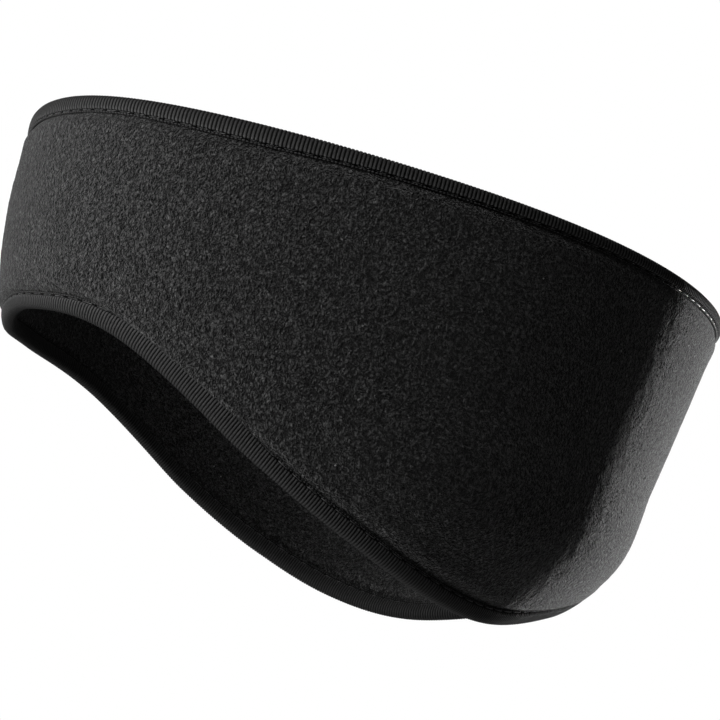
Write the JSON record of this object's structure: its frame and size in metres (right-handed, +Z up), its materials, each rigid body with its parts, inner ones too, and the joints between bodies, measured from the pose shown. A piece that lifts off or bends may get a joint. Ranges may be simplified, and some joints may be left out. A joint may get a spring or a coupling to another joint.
{
  "type": "fleece headband",
  "caption": "Ear-warming headband: a ring of fleece, narrow at the brow and deep over the ears and nape, with a ribbed tape folded over both edges.",
  "frame": {"origin": "centre of the hollow for the head, midway between its front and back at the top edge and halfway down the ear panels", "axes": "-Y is the way the wearer faces, +X is the wearer's left, and +Z is up, with the band leaned back as it is worn"},
  "size_m": [0.158, 0.2047, 0.1342],
  "materials": {
    "fleece": "matt black pile, lightly pilled",
    "binding_tape": "black ribbed tape with a slight sheen"
  },
  "bodies": {
    "root": {"fleece_band": "fleece", "top_binding": "binding_tape", "bottom_binding": "binding_tape"}
  },
  "joints": []
}
